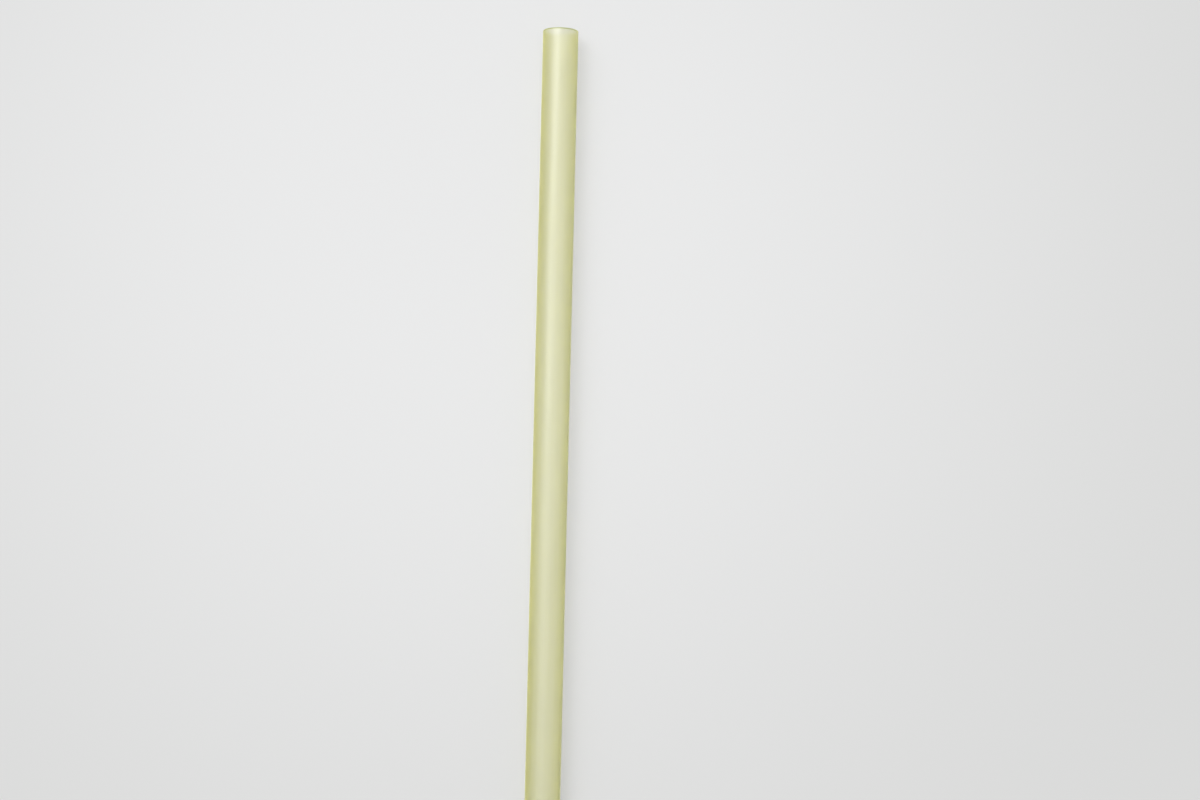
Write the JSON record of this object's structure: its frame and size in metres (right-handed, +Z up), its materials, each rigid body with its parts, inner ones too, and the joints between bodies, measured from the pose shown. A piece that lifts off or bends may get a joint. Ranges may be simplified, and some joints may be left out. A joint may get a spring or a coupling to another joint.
{
  "type": "drinking straw",
  "caption": "Plain straight drinking straw, a thin-walled translucent yellow-green plastic tube open and cut square at both ends.",
  "frame": {"origin": "on the surface that the straw lies on, below the middle of its length", "axes": "+Y along the straw towards the end that is drunk from, +Z up from the surface, X across the straw"},
  "size_m": [0.006, 0.2, 0.006],
  "materials": {
    "straw_plastic": "satin"
  },
  "bodies": {
    "root": {"straw": "straw_plastic"}
  },
  "joints": []
}
